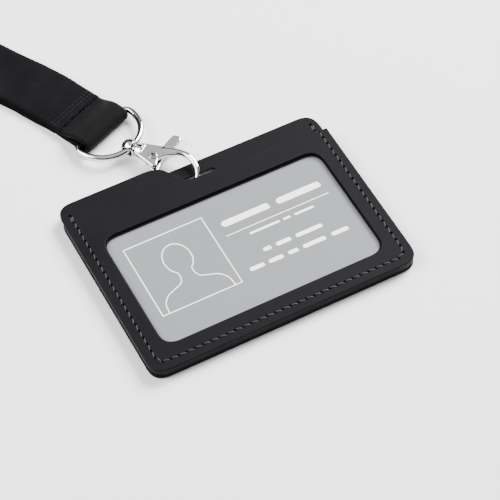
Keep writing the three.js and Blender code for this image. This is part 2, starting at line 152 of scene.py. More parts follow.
def leather(name, dark, light, roughness=0.56, grain=1.0):
    """Smooth printed leather: a fine pebble grain over soft colour changes."""
    shader = Shader(name, light, roughness, Specular_IOR_Level=0.07)
    where = shader.place()
    patches = shader.noise(where, 60, 4)
    specks = shader.noise(where, 2600, 2)
    shade = shader.math("MULTIPLY_ADD", specks, 0.35, shader.math("MULTIPLY", patches, 0.65))
    shader.link(shader.mix(shader.ramp(shade, 0.35, 0.65), dark, light), "Base Color")
    shader.link(shader.ramp(patches, 0.3, 0.7, roughness - 0.06, roughness + 0.07), "Roughness")
    pebble = shader.cells(where, 3600, "DISTANCE_TO_EDGE")
    fine = shader.bump(shader.ramp(pebble, 0.0, 0.25), 0.00002 * grain, 0.5)
    shader.link(shader.bump(patches, 0.0003, 0.25, fine), "Normal")
    return shader.material


def edge_paint():
    """The thick paint that seals a cut leather edge: darker and glossier than the face."""
    shader = Shader("edge_paint", (0.002, 0.002, 0.0024), 0.48, Specular_IOR_Level=0.09)
    where = shader.place()
    waves = shader.noise(where, 500, 3)
    tone = shader.mix(shader.ramp(waves, 0.3, 0.7), (0.0012, 0.0012, 0.0015), (0.0025, 0.0025, 0.003))
    shader.link(tone, "Base Color")
    shader.link(shader.bump(waves, 0.00012, 0.35), "Normal")
    return shader.material


def weave(name, dark, light, rib=0.00068, pick=0.00052, depth=1.0, roughness=0.8):
    """Webbing: warp ribs along the strap crossed by picks, every other rib half a pick out of step.
    The strap's own map gives metres along it and across it."""
    sheen = {"Sheen_Weight": 0.012, "Sheen_Roughness": 0.45}
    shader = Shader(name, light, roughness, Specular_IOR_Level=0.06, **sheen)
    split = shader.node("ShaderNodeSeparateXYZ", {"Vector": shader.uv("weave")})
    along, across = split.outputs["X"], split.outputs["Y"]
    rib_at = shader.math("DIVIDE", across, rib)
    odd = shader.math("MULTIPLY", shader.math("MODULO", shader.math("FLOOR", rib_at), 2.0), 0.5)
    pick_at = shader.math("ADD", shader.math("DIVIDE", along, pick), odd)
    rib_wave = shader.math("ABSOLUTE", shader.math("SINE", shader.math("MULTIPLY", rib_at, math.pi)))
    pick_wave = shader.math("ABSOLUTE", shader.math("SINE", shader.math("MULTIPLY", pick_at, math.pi)))
    knots = shader.math("MULTIPLY", rib_wave, pick_wave)
    fuzz = shader.noise(shader.place(), 1500, 3)
    uneven = shader.noise(shader.place(), 140, 3)
    height = shader.math("MULTIPLY_ADD", fuzz, 0.35, knots)
    # the colour is partly random tone (uneven) and partly painted shade: the gaps between the knots are
    # painted darker than the knot tops
    shade = shader.math("MULTIPLY_ADD", uneven, 0.5, shader.math("MULTIPLY", height, 0.5))
    shader.link(shader.mix(shader.ramp(shade, 0.3, 0.95), dark, light), "Base Color")
    shader.link(shader.bump(height, 0.00022 * depth, 0.75), "Normal")
    return shader.material


def thread(name, dark, light):
    """Waxed thread: plies that show as slanted bands, with painted shade darkening the grooves between them.
    """
    shader = Shader(name, light, 0.55, Specular_IOR_Level=0.2)
    where = shader.place()
    links = {"Vector": where, "Scale": 900, "Distortion": 1.5}
    plies = shader.node("ShaderNodeTexWave", links, bands_direction="DIAGONAL")
    bands = plies.outputs["Fac"]
    # the dark bands are painted shade in the grooves between the plies
    shader.link(shader.mix(bands, dark, light), "Base Color")
    shader.link(shader.bump(bands, 0.00006, 0.5), "Normal")
    return shader.material


def plated(name, color, roughness, ripple):
    """Polished plating over a casting: nearly a mirror, with faint waves and small scuffs."""
    shader = Shader(name, color, roughness, 1.0, Specular_Tint=(0.12, 0.12, 0.13, 1))
    where = shader.place()
    waves = shader.noise(where, 350, 2)
    scuffs = shader.noise(where, 4200, 2)
    shader.link(shader.ramp(scuffs, 0.45, 0.75, roughness, roughness + 0.1), "Roughness")
    shader.link(shader.bump(waves, ripple, 0.4), "Normal")
    return shader.material


def card_face():
    """Matt silver card stock with a very fine speckle."""
    shader = Shader("card_face", (0.155, 0.159, 0.165), 0.5, Specular_IOR_Level=0.2)
    where = shader.place()
    speckle = shader.noise(where, 5200, 2)
    cloud = shader.noise(where, 22, 2)
    tone = shader.math("MULTIPLY_ADD", speckle, 0.25, shader.math("MULTIPLY", cloud, 0.75))
    silver = shader.mix(shader.ramp(tone, 0.35, 0.65), (0.118, 0.123, 0.13), (0.132, 0.137, 0.144))
    shader.link(silver, "Base Color")
    shader.link(shader.bump(speckle, 0.00001, 0.3), "Normal")
    return shader.material


def clear_film():
    """Clear vinyl: mostly transparent, with a gloss surface that waves slightly."""
    shader = Shader("clear_film", (0.6, 0.61, 0.62), 0.06, Alpha=0.08, IOR=1.45)
    waves = shader.noise(shader.place(), 45, 2)
    shader.link(shader.bump(waves, 0.0006, 0.25), "Normal")
    return shader.material


def painted_glow_ink():
    """White screen-printed ink with a slightly uneven surface, which also glows a little: painted light that
    makes the print brighter than the lamps light it.
    """
    # the emission is painted light: the ink glows though it is no lamp
    shader = Shader("white_ink_painted_glow", (0.95, 0.96, 0.97), 0.5, Emission_Strength=0.5)
    grain = shader.noise(shader.place(), 4000, 2)
    white = shader.mix(shader.ramp(grain, 0.3, 0.7), (0.93, 0.94, 0.95), (0.96, 0.97, 0.98))
    shader.link(white, "Base Color")
    return shader.material


LEATHER = leather("leather", (0.0019, 0.0018, 0.0027), (0.0036, 0.0034, 0.0049))
SUEDE = leather("lining_cloth", (0.003, 0.003, 0.0034), (0.006, 0.006, 0.0066), 0.85, 2.0)
EDGE = edge_paint()
STRAP_WEAVE = weave("strap_weave", (0.0004, 0.0004, 0.0006), (0.0068, 0.0064, 0.0082))
FOLD_WEAVE = weave(
    "fold_weave",
    (0.0005, 0.0005, 0.0007),
    (0.0056, 0.0053, 0.0066),
    rib=0.0005,
    pick=0.0004,
    depth=0.6,
    roughness=0.62,
)
STITCH = thread("stitch_thread", (0.02, 0.02, 0.022), (0.055, 0.055, 0.058))
SEAM_THREAD = thread("seam_thread", (0.003, 0.003, 0.004), (0.011, 0.011, 0.0125))
CHROME = plated("chrome", (0.78, 0.785, 0.79), 0.05, 0.00006)
STEEL = plated("satin_steel", (0.16, 0.16, 0.165), 0.25, 0.00004)
CARD = card_face()
FILM = clear_film()
GLOWING_INK = painted_glow_ink()


# ---------- mesh helpers ----------


def add_mesh(name, vertices, faces, material, smooth=True):
    """A mesh object from vertices in millimetres."""
    mesh = bpy.data.meshes.new(name)
    mesh.from_pydata([Vector(v) * MM for v in vertices], [], faces)
    mesh.update()
    made = bpy.data.objects.new(name, mesh)
    scene.collection.objects.link(made)
    if material:
        mesh.materials.append(material)
    if smooth:
        mesh.polygons.foreach_set("use_smooth", [True] * len(mesh.polygons))
    return made


def face_outward(made):
    """Turns every face of a closed mesh outwards."""
    mesh = bmesh.new()
    mesh.from_mesh(made.data)
    bmesh.ops.recalc_face_normals(mesh, faces=mesh.faces)
    mesh.to_mesh(made.data)
    mesh.free()
    return made


def apply_modifiers(target):
    """Bakes the modifiers into the mesh."""
    bpy.context.view_layer.update()
    graph = bpy.context.evaluated_depsgraph_get()
    mesh = bpy.data.meshes.new_from_object(target.evaluated_get(graph))
    target.modifiers.clear()
    target.data = mesh
    return target


def catmull(points, per_span):
    """A centripetal Catmull-Rom curve through the points, as a polyline."""
    knots = [points[0] * 2 - points[1], *points, points[-1] * 2 - points[-2]]
    line = []
    for i in range(1, len(knots) - 2):
        a, b, c, d = knots[i - 1 : i + 3]
        t0 = 0.0
        t1 = t0 + (b - a).length ** 0.5
        t2 = t1 + (c - b).length ** 0.5
        t3 = t2 + (d - c).length ** 0.5
        for step in range(per_span):
            t = t1 + (t2 - t1) * step / per_span
            ab = a * ((t1 - t) / (t1 - t0)) + b * ((t - t0) / (t1 - t0))
            bc = b * ((t2 - t) / (t2 - t1)) + c * ((t - t1) / (t2 - t1))
            cd = c * ((t3 - t) / (t3 - t2)) + d * ((t - t2) / (t3 - t2))
            abc = ab * ((t2 - t) / (t2 - t0)) + bc * ((t - t0) / (t2 - t0))
            bcd = bc * ((t3 - t) / (t3 - t1)) + cd * ((t - t1) / (t3 - t1))
            line.append(abc * ((t2 - t) / (t2 - t1)) + bcd * ((t - t1) / (t2 - t1)))
    line.append(points[-1].copy())
    return line


def resample(line, spacing):
    """The polyline with its points evenly spaced."""
    reach = [0.0]
    for a, b in zip(line, line[1:]):
        reach.append(reach[-1] + (b - a).length)
    count = max(2, round(reach[-1] / spacing))
    made, span = [], 0
    for i in range(count + 1):
        goal = reach[-1] * i / count
        while span < len(line) - 2 and reach[span + 1] < goal:
            span += 1
        share = (goal - reach[span]) / max(reach[span + 1] - reach[span], 1e-9)
        made.append(line[span].lerp(line[span + 1], min(share, 1.0)))
    return made


def tangents(line, closed=False):
    """Unit directions along a polyline."""
    count = len(line)
    made = []
    for i in range(count):
        before = line[(i - 1) % count] if closed else line[max(i - 1, 0)]
        after = line[(i + 1) % count] if closed else line[min(i + 1, count - 1)]
        made.append((after - before).normalized())
    return made


def smoother(share):
    """A step from 0 to 1 that starts and ends level."""
    t = min(max(share, 0.0), 1.0)
    return t * t * t * (t * (6 * t - 15) + 10)


# ---------- strap ----------

STRAP_WIDTH = 20.0
STRAP_THICK = 1.2
LAYER_GAP = 0.15
TRACK_GAP = 8.0
COIL_RADIUS = 52.0
COIL_PITCH = 16.0
COIL_LIFT = 0.7
COIL_TURNS = 1.462
COIL_STEPS = 150
# the far turn between the two tracks: distances ahead of their ends and towards the coil's middle
BULB = ((9, -3.2), (15, -6.0), (22, -5.4), (26.5, 1.5), (24, 8.6), (17, 10.6), (9, 6.4))
BAR_CENTRE = Vector((-18.9, 60.9, 2.5))
UPPER_HEIGHT = STRAP_THICK * 1.5 + LAYER_GAP
UP = Vector((0, 0, 1))

# The centreline of the strap's legs from the seam to the coil, seen from above.
LEG_ROUTE = [
    (-23.5, 71.8),
    (-27.6, 81.3),
    (-32.5, 90.4),
    (-37.8, 99.3),
    (-43.1, 108.2),
    (-48.4, 117.1),
    (-53.6, 125.9),
    (-58.7, 134.7),
    (-63.8, 143.5),
]
TWIST_START = 0.5


def left_of(direction):
    return Vector((-direction.y, direction.x, 0)).normalized()


leg_line = resample(catmull([Vector((x, y, 0)) for x, y in LEG_ROUTE], 12), 1.0)
leg_headings = tangents(leg_line)


def leg_stations(upper):
    """One leg from the seam to the coil: (centre, across, through) at each millimetre."""
    made = []
    for i, (spot, heading) in enumerate(zip(leg_line, leg_headings)):
        share = i / (len(leg_line) - 1)
        eased = smoother((share - TWIST_START) / (1 - TWIST_START))
        turn = eased * math.pi / 2
        left = left_of(heading)
        flat = UPPER_HEIGHT if upper else STRAP_THICK / 2
        height = flat * math.cos(turn) + (STRAP_WIDTH / 2 + COIL_LIFT) * math.sin(turn)
        aside = TRACK_GAP * eased if upper else 0.0
        # the lower leg shows a little beyond the upper one's left edge before they part
        aside += 0.0 if upper else 0.9 * (1 - eased) * smoother(share * 9)
        centre = spot + left * aside + UP * height
        across = left * math.cos(turn) - UP * math.sin(turn)
        through = UP * math.cos(turn) + left * math.sin(turn)
        made.append((centre, across, through))
    return made


def coil_stations():
    """The loop past the legs: out along the outer track, round a small bulb, back along the inner track."""
    end, heading = leg_line[-1], leg_headings[-1]
    centre = end + left_of(heading) * COIL_RADIUS
    start = math.atan2(end.y - centre.y, end.x - centre.x)
    height = STRAP_WIDTH / 2 + COIL_LIFT

    def track(turn, inset):
        radius = COIL_RADIUS - inset - COIL_PITCH * turn
        angle = start + turn * 2 * math.pi
        return centre + Vector((radius * math.cos(angle), radius * math.sin(angle), height))

    turns = [COIL_TURNS * i / COIL_STEPS for i in range(1, COIL_STEPS + 1)]
    outer = [track(turn, 0) for turn in turns]
    inner = [track(turn, TRACK_GAP) for turn in reversed(turns)]
    ahead = tangents(outer)[-1]
    inward = (inner[0] - outer[-1]).normalized()
    mid = (outer[-1] + inner[0]) / 2
    bulb = [mid + ahead * along + inward * aside for along, aside in BULB]
    line = resample(catmull([*outer[::6], outer[-1], *bulb, inner[0], *inner[::-1][::6][::-1]], 8), 1.1)
    return [(spot, -UP, left_of(ahead)) for spot, ahead in zip(line, tangents(line))]


def ribbon_section(width, thick, bulge=0.16):
    """The webbing's section as (across, through) points: flat faces and slightly thicker selvedges."""
    half, radius = width / 2, thick / 2
    shares = [-0.94 + 1.88 * i / 20 for i in range(21)]
    top = []
    for share in shares:
        swell = bulge * radius if abs(share) > 0.86 else 0.0
        top.append((share * (half - radius * 0.4), radius + swell * 0.5))
    side = [(half, radius * 0.55), (half + 0.02, 0), (half, -radius * 0.55)]
    bottom = [(x, -y) for x, y in reversed(top)]
    return top + side + bottom + [(-x, -y) for x, y in side]


def add_ribbon(name, stations, width, thick, material, teeth=0.0, wander=0.12):
    """Webbing along its stations, mapped in metres along and across. Its far end may be cut into teeth."""
    section = ribbon_section(width, thick)
    count = len(section)
    vertices, maps, along = [], [], 0.0
    for i, (centre, across, through) in enumerate(stations):
        if i:
            along += (centre - stations[i - 1][0]).length
        ahead = across.cross(through).normalized()
        for j, (side, out) in enumerate(section):
            edge = abs(side) / (width / 2)
            wave = noise.noise(Vector((along * 0.16, side * 0.05, 3.1))) * wander * edge**2
            flutter = noise.noise(Vector((along * 0.5, side * 0.6, 7.7))) * 0.03
            spot = centre + across * (side + wave * (1 if side > 0 else -1)) + through * (out + flutter)
            if i == len(stations) - 1:
                spot += ahead * (teeth if j % 2 else 0.0)
            vertices.append(spot)
            maps.append((along * MM, side * MM + 0.5))
    faces = []
    for i in range(len(stations) - 1):
        for j in range(count):
            k = (j + 1) % count
            faces.append((i * count + j, i * count + k, (i + 1) * count + k, (i + 1) * count + j))
    faces.append(tuple(range(count - 1, -1, -1)))
    faces.append(tuple(range((len(stations) - 1) * count, len(stations) * count)))
    made = add_mesh(name, vertices, faces, material)
    mesh = made.data
    layer = mesh.uv_layers.new(name="weave")
    for loop in mesh.loops:
        layer.data[loop.index].uv = maps[loop.vertex_index]
    return face_outward(made)


lower = leg_stations(False)
upper = leg_stations(True)
loop_stations = [*lower, *coil_stations()]
# the way back runs towards the seam, so its width and thickness directions both turn over
loop_stations += [(centre, across, -through) for centre, across, through in reversed(upper)]
# and its cut end laps over the fold, where the seam holds it
seam_centre, seam_across, seam_through = loop_stations[-1]
for lap, rise in ((0.5, 0.16), (1.1, 0.26), (1.7, 0.3)):
    loop_stations.append((seam_centre - leg_headings[0] * lap + UP * rise, seam_across, seam_through))
strap = add_ribbon(
    "strap_webbing",
    loop_stations,
    STRAP_WIDTH,
    STRAP_THICK,
    STRAP_WEAVE,
    teeth=0.55,
    wander=0.3,
)
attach(strap, "strap")
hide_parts("strap_leg_upper", "strap_leg_lower", "strap_coil")


# ---------- leather, card and film ----------

WIDTH = 94.0
HEIGHT = 72.0
HALF_W, HALF_H = WIDTH / 2, HEIGHT / 2
CORNER = 5.5
WINDOW = {"left": -39.3, "right": 39.6, "bottom": -27.8, "top": 17.9, "corner": 5.5}
STRIP_TOP = 33.9
SLOT = {"left": -6.2, "right": 7.2, "bottom": 24.2, "top": 28.9, "corner": 1.2}
REAR = {"side": 28.4, "shoulder": 17.0, "top": 23.0}
WELT_TOP = {"left": 29.0, "right": 22.0}
THUMB_NOTCH = 9.0


def quad(start, control, end, steps=8):
    """The points of a quadratic curve after its start."""
    a, b, c = Vector(start), Vector(control), Vector(end)
    shares = [i / steps for i in range(1, steps + 1)]
    return [(1 - t) ** 2 * a + 2 * t * (1 - t) * b + t * t * c for t in shares]


def rounded(corners, steps=7):
    """A closed outline with rounded corners: one (x, y, radius) for each."""
    line = []
    for i, (x, y, radius) in enumerate(corners):
        here = Vector((x, y))
        back = (Vector(corners[i - 1][:2]) - here).normalized()
        ahead = (Vector(corners[(i + 1) % len(corners)][:2]) - here).normalized()
        reach = radius / math.tan(back.angle(ahead) / 2)
        start, end = here + back * reach, here + ahead * reach
        line += [start, *quad(start, here, end, steps)]
    return line


def rectangle(left, bottom, right, top, radius):
    corners = ((left, bottom), (right, bottom), (right, top), (left, top))
    return rounded([(x, y, radius) for x, y in corners])


def thicken(line, spacing=2.5):
    """Adds points along long straight stretches, so the rim shades evenly."""
    made = []
    for a, b in zip(line, [*line[1:], line[0]]):
        pieces = max(1, round((b - a).length / spacing))
        made += [a.lerp(b, i / pieces) for i in range(pieces)]
    return made


def front_outline(grow=0.0):
    """Full height on the left, an S-curve down to the slot, then the low mouth edge on the right."""
    left, right, low, high = -HALF_W - grow, HALF_W + grow, -HALF_H - grow, HALF_H + grow
    r = CORNER + grow
    line = [Vector((left + r, low)), Vector((right - r, low))]
    line += quad((right - r, low), (right, low), (right, low + r))
    line += [Vector((right, 24.3 + grow)), Vector((-2.4, 26.3 + grow))]
    line += quad((-2.4, 26.3 + grow), (-4.6, 26.5 + grow), (-5.6 + grow, 28.3))
    line += [Vector((-8.2 + grow, 32.8))]
    line += quad((-8.2 + grow, 32.8), (-10.0 + grow, high), (-15 + grow, high))
    line += [Vector((left + r, high))]
    line += quad((left + r, high), (left, high), (left, high - r))
    line += [Vector((left, low + r))]
    line += quad((left, low + r), (left, low), (left + r, low))[:-1]
    return line


def window_outline(grow=0.0):
    left, bottom = WINDOW["left"] - grow, WINDOW["bottom"] - grow
    right, top = WINDOW["right"] + grow, WINDOW["top"] + grow
    return rectangle(left, bottom, right, top, WINDOW["corner"] + grow)


def inward(line, outer):
    """Directions into the material at each point of an anticlockwise outline, or of a hole."""
    made = []
    for i, spot in enumerate(line):
        ahead = (line[(i + 1) % len(line)] - spot).normalized()
        behind = (spot - line[i - 1]).normalized()
        along = (ahead + behind).normalized()
        made.append(Vector((-along.y, along.x)) * (1 if outer else -1))
    return made


def add_plate(name, outlines, bottom, top, lip, face, rim):
    """A flat piece cut to its outlines, the first one outside and the rest holes, with rounded rims."""
    mesh = bmesh.new()
    caps = {0: [], 1: []}
    soft = min(lip, (top - bottom) * 0.45)
    profile = [(soft, bottom), (soft * 0.3, bottom + soft * 0.3), (0, bottom + soft)]
    profile += [(0, top - soft), (soft * 0.3, top - soft * 0.3), (soft, top)]
    for number, outline in enumerate(outlines):
        line = thicken(outline)
        normals = inward(line, number == 0)
        rings = []
        for inset, height in profile:
            spots = [(*(p + n * inset), height) for p, n in zip(line, normals)]
            rings.append([mesh.verts.new(Vector(s) * MM) for s in spots])
        for low, high in zip(rings, rings[1:]):
            for i in range(len(line)):
                j = (i + 1) % len(line)
                mesh.faces.new((low[i], low[j], high[j], high[i])).material_index = 1
        for key, ring in ((0, rings[0]), (1, rings[-1])):
            for i in range(len(line)):
                pair = (ring[i], ring[(i + 1) % len(line)])
                caps[key].append(mesh.edges.get(pair) or mesh.edges.new(pair))
    for key in (0, 1):
        bmesh.ops.triangle_fill(mesh, use_beauty=True, use_dissolve=False, edges=caps[key])
    bmesh.ops.recalc_face_normals(mesh, faces=mesh.faces)
    made = bpy.data.meshes.new(name)
    mesh.to_mesh(made)
    mesh.free()
    piece = bpy.data.objects.new(name, made)
    scene.collection.objects.link(piece)
    made.materials.append(face)
    made.materials.append(rim)
    made.polygons.foreach_set("use_smooth", [p.material_index == 1 for p in made.polygons])
    return piece


def carve(piece, cutter):
    """Cuts the cutter out of the piece and removes it."""
    cut = piece.modifiers.new("cut", "BOOLEAN")
    cut.operation = "DIFFERENCE"
    cut.solver = "EXACT"
    cut.object = cutter
    apply_modifiers(piece)
    bpy.data.objects.remove(cutter)


def stands_for(piece, body, slot_name, *replaced):
    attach(piece, body)
    if replaced:
        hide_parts(*replaced)
    return piece


# heights of the layers, read from the frame
face_low, face_top = (v.z for v in box_mm("front_panel"))
lining_low = box_mm("front_lining")[0].z
welt_low, welt_top = (v.z for v in box_mm("pocket_welt"))
middle_low, middle_top = (v.z for v in box_mm("middle_panel"))
rear_low, rear_top = (v.z for v in box_mm("back_panel"))
card_low, card_high = box_mm("id_card")
film_low, film_high = box_mm("window_film")

# --- stitches ---

STITCH_PITCH = 2.8
STITCH_INSET = 3.1
HOLE_RADIUS = 0.58
HOLE_SIDES = 10
STITCH_TOP = {"left": 31.0, "right": 29.6}


def stitch_spots():
    """The awl holes from the left side's top, round the bottom, to the right side's top."""
    out, low, turn = HALF_W - STITCH_INSET, -HALF_H + STITCH_INSET, 3.2
    line = [Vector((-out, STITCH_TOP["left"])), Vector((-out, low + turn))]
    line += quad((-out, low + turn), (-out, low), (-out + turn, low))
    line += [Vector((out - turn, low))]
    line += quad((out - turn, low), (out, low), (out, low + turn))
    line += [Vector((out, STITCH_TOP["right"]))]
    return resample(line, STITCH_PITCH)


holes = stitch_spots()
hole_headings = tangents(holes)


def on_strip(spot):
    """Whether a hole is above the front panel's mouth edge, on the strip."""
    return spot.x > 0 and spot.y > 24.6


def prism(rings_at, sides, radius, low, high, stretch=1.0):
    """Upright round tools, one at each (spot, heading)."""
    vertices, faces = [], []
    for spot, heading in rings_at:
        first = len(vertices)
        side = Vector((-heading.y, heading.x))
        for height in (low, high):
            for i in range(sides):
                a = 2 * math.pi * i / sides
                place = spot + heading * (radius * stretch * math.cos(a)) + side * (radius * math.sin(a))
                vertices.append((place.x, place.y, height))
        for i in range(sides):
            j = (i + 1) % sides
            faces.append((first + i, first + j, first + sides + j, first + sides + i))
        faces.append(tuple(first + i for i in range(sides - 1, -1, -1)))
        faces.append(tuple(first + sides + i for i in range(sides)))
    return vertices, faces


def add_stitches(name, picks, height, depth, lift, sink, slant):
    """Threads from hole to hole: each arches out of one and into the next, a little across the row."""
    sides, steps = 8, 9
    vertices, faces = [], []
    dice = random.Random(11)
    for (a, b), double in picks:
        ahead = (b - a).normalized()
        side = Vector((-ahead.y, ahead.x))
        for offset in (-0.3, 0.3) if double else (0.0,):
            first = len(vertices)
            start = a + side * (slant + offset) + ahead * 0.16
            end = b - side * (slant - offset) - ahead * 0.16
            thick = 0.18 + dice.uniform(-0.015, 0.015)
            for i in range(steps):
                t = i / (steps - 1)
                spot = start.lerp(end, t)
                arch = math.sin(math.pi * t) ** 0.45
                z = height + (-sink + (sink + lift) * arch) * depth
                girth = thick * (0.62 + 0.38 * arch)
                for k in range(sides):
                    turn = 2 * math.pi * k / sides
                    wide = side * (girth * 1.12 * math.cos(turn))
                    vertices.append((spot.x + wide.x, spot.y + wide.y, z + girth * 0.8 * math.sin(turn)))
            for i in range(steps - 1):
                for k in range(sides):
                    m = (k + 1) % sides
                    low, high = first + i * sides, first + (i + 1) * sides
                    faces.append((low + k, high + k, high + m, low + m))
            faces.append(tuple(first + k for k in range(sides)))
            faces.append(tuple(first + (steps - 1) * sides + k for k in range(sides - 1, -1, -1)))
    return face_outward(add_mesh(name, vertices, faces, STITCH))


def awl(spots, top):
    """The tool that opens the stitch holes into a face whose height is top."""
    return add_mesh("awl", *prism(spots, HOLE_SIDES, HOLE_RADIUS, top - 0.5, top + 1), None, False)


spans = list(zip(holes, holes[1:]))
front_spans = [(s, i == 0) for i, s in enumerate(spans) if not on_strip(s[1])]
strip_spans = [(s, i == len(spans) - 1) for i, s in enumerate(spans) if on_strip(s[1])]

# --- panels ---

front_lines = [front_outline(), window_outline()]
front = add_plate("front_leather", front_lines, face_low, face_top, 0.24, LEATHER, EDGE)
face_holes = [(s, h) for s, h in zip(holes, hole_headings) if not on_strip(s)]
carve(front, awl(face_holes, face_top))
stands_for(front, "holder", "leather", "front_panel")

lining = add_plate(
    "front_lining_cloth",
    [front_outline(-0.06), window_outline(-0.35)],
    lining_low,
    face_low - 0.02,
    0.08,
    SUEDE,
    EDGE,
)
stands_for(lining, "holder", "lining", "front_lining")

welt_inner = card_high.x + 0.35
welt_line = rounded(
    [
        (-HALF_W + 0.1, WELT_TOP["left"], 0.4),
        (-HALF_W + 0.1, -HALF_H + 0.1, CORNER),
        (HALF_W - 0.1, -HALF_H + 0.1, CORNER),
        (HALF_W - 0.1, WELT_TOP["right"], 0.4),
        (welt_inner, WELT_TOP["right"], 0.4),
        (welt_inner, card_low.y - 0.35, 3.0),
        (-welt_inner, card_low.y - 0.35, 3.0),
        (-welt_inner, WELT_TOP["left"], 0.4),
    ]
)
welt = add_plate("pocket_filler", [welt_line], welt_low - 0.03, welt_top + 0.03, 0.1, LEATHER, EDGE)
stands_for(welt, "holder", "leather", "pocket_welt")

strip_side = HALF_W - 0.5
strip_slot = rectangle(SLOT["left"], SLOT["bottom"], SLOT["right"], SLOT["top"], SLOT["corner"])
strip_line = rectangle(-strip_side, -HALF_H + 0.1, strip_side, STRIP_TOP, CORNER)
middle = add_plate("slotted_panel", [strip_line, strip_slot], middle_low, middle_top, 0.2, LEATHER, EDGE)
strip_holes = [(s, h) for s, h in zip(holes, hole_headings) if on_strip(s)]
carve(middle, awl(strip_holes, middle_top))
stands_for(middle, "holder", "leather", "middle_panel")

rear_line = [Vector((-HALF_W + CORNER, -HALF_H)), Vector((HALF_W - CORNER, -HALF_H))]
rear_line += quad((HALF_W - CORNER, -HALF_H), (HALF_W, -HALF_H), (HALF_W, -HALF_H + CORNER))
rear_line += [Vector((HALF_W, REAR["side"]))]
rear_line += quad((HALF_W, REAR["side"]), (HALF_W, STRIP_TOP), (HALF_W - CORNER, STRIP_TOP))
rear_line += [Vector((REAR["shoulder"], STRIP_TOP)), Vector((REAR["shoulder"], REAR["top"]))]
rear_line += [Vector((THUMB_NOTCH, REAR["top"]))]
NOTCH_STEPS = 20
for step in range(1, NOTCH_STEPS + 1):
    angle = -math.pi * step / NOTCH_STEPS
    rear_line.append(Vector((THUMB_NOTCH * math.cos(angle), REAR["top"] + THUMB_NOTCH * math.sin(angle))))
rear_line += [Vector((-REAR["shoulder"], REAR["top"])), Vector((-REAR["shoulder"], STRIP_TOP))]
rear_line += [Vector((CORNER - HALF_W, STRIP_TOP))]
rear_line += quad((CORNER - HALF_W, STRIP_TOP), (-HALF_W, STRIP_TOP), (-HALF_W, REAR["side"]))
rear_line += [Vector((-HALF_W, -HALF_H + CORNER))]
rear_line += quad((-HALF_W, -HALF_H + CORNER), (-HALF_W, -HALF_H), (-HALF_W + CORNER, -HALF_H))[:-1]
rear = add_plate("rear_leather", [rear_line], rear_low, rear_top, 0.24, LEATHER, EDGE)
rear_spots = [h for h in holes if h.y < STRIP_TOP - 3.0]
groove_tools = [((a + b) / 2, (b - a).normalized()) for a, b in zip(rear_spots, rear_spots[1:])]
groove_form = prism(groove_tools, 16, 0.62, rear_low - 1, rear_low + 0.62, 1.95)
carve(rear, add_mesh("groove", *groove_form, None, False))
stands_for(rear, "holder", "leather", "back_panel")

front_stitches = add_stitches("face_stitches", front_spans, face_top, 1, 0.05, 0.42, 0.36)
stands_for(front_stitches, "holder", "thread", "stitch_run_left", "stitch_run_right")
strip_stitches = add_stitches("strip_stitches", strip_spans, middle_top, 1, 0.05, 0.42, 0.36)
stands_for(strip_stitches, "holder", "thread")
rear_pairs = [(pair, False) for pair in zip(rear_spots, rear_spots[1:])]
rear_stitches = add_stitches("rear_stitches", rear_pairs, rear_low + 0.34, -1, 0.06, 0.2, 0.1)
stands_for(rear_stitches, "holder", "thread")

# --- film and card ---

film_line = rectangle(film_low.x, film_low.y, film_high.x, film_high.y, 4.0)
film = add_plate("clear_film", [film_line], film_low.z, film_high.z, 0.06, FILM, FILM)
stands_for(film, "holder", "film", "window_film")

card_line = rectangle(card_low.x, card_low.y, card_high.x, card_high.y, 3.18)
card = add_plate("identity_card", [card_line], card_low.z, card_high.z, 0.1, CARD, CARD)
stands_for(card, "card", "card", "id_card")

PRINT_LOW, PRINT_HIGH = card_high.z + 0.004, card_high.z + 0.03


class Ink:
    """Flat printed shapes, gathered into one mesh."""

    def __init__(self):
        self.vertices, self.faces = [], []

    def band(self, outer, inner, closed=True):
        """The strip between two lines of the same number of points."""
        first, count = len(self.vertices), len(outer)
        for height in (PRINT_LOW, PRINT_HIGH):
            self.vertices += [(p.x, p.y, height) for line in (outer, inner) for p in line]
        last = count if closed else count - 1
        for i in range(last):
            j = (i + 1) % count
            a, b, c, d = first + i, first + j, first + count + j, first + count + i
            up = 2 * count
            self.faces += [(a + up, b + up, c + up, d + up), (d, c, b, a)]
            self.faces += [(b, a, a + up, b + up), (d, c, c + up, d + up)]
        if not closed:
            for i, flip in ((0, False), (count - 1, True)):
                a, d = first + i, first + count + i
                end = (a, d, d + 2 * count, a + 2 * count)
                self.faces.append(end[::-1] if flip else end)

    def stroke(self, line, width, closed=False):
        sides = []
        for i, heading in enumerate(tangents(line, closed)):
            aside = Vector((-heading.y, heading.x)) * width / 2
            sides.append((line[i] + aside, line[i] - aside))
        self.band([s[0] for s in sides], [s[1] for s in sides], closed)

    def bar(self, left, right, middle, height):
        """A solid bar with round ends, which stands for a word."""
        half = height / 2
        ends = ((right - half, -90), (left + half, 90))
        upper, lower = [], []
        for x, begin in ends:
            for i in range(7):
                a = math.radians(begin + i * 30)
                spot = Vector((x + half * math.cos(a), middle + half * math.sin(a)))
                (upper if spot.y >= middle else lower).append(spot)
        upper.sort(key=lambda p: p.x)
        lower.sort(key=lambda p: p.x)
        count = min(len(upper), len(lower))
        self.band(upper[:count], lower[:count], closed=False)

    def finish(self, name):
        return face_outward(add_mesh(name, self.vertices, self.faces, GLOWING_INK, smooth=False))


ink = Ink()
PORTRAIT_BOX = {"left": -34.4, "right": -6.5, "bottom": -16.8, "top": 11.7}
frame_line = [
    Vector((PORTRAIT_BOX[x], PORTRAIT_BOX[y]))
    for x, y in (("left", "bottom"), ("right", "bottom"), ("right", "top"), ("left", "top"))
]
INK_WIDTH = 0.34
grow = INK_WIDTH / 2
box_centre = Vector((sum(p.x for p in frame_line) / 4, sum(p.y for p in frame_line) / 4))


def square(change):
    """The frame's corners, moved out by change."""
    made = []
    for corner in frame_line:
        out = Vector((1 if corner.x > box_centre.x else -1, 1 if corner.y > box_centre.y else -1))
        made.append(corner + out * change)
    return made


ink.band(square(grow), square(-grow))

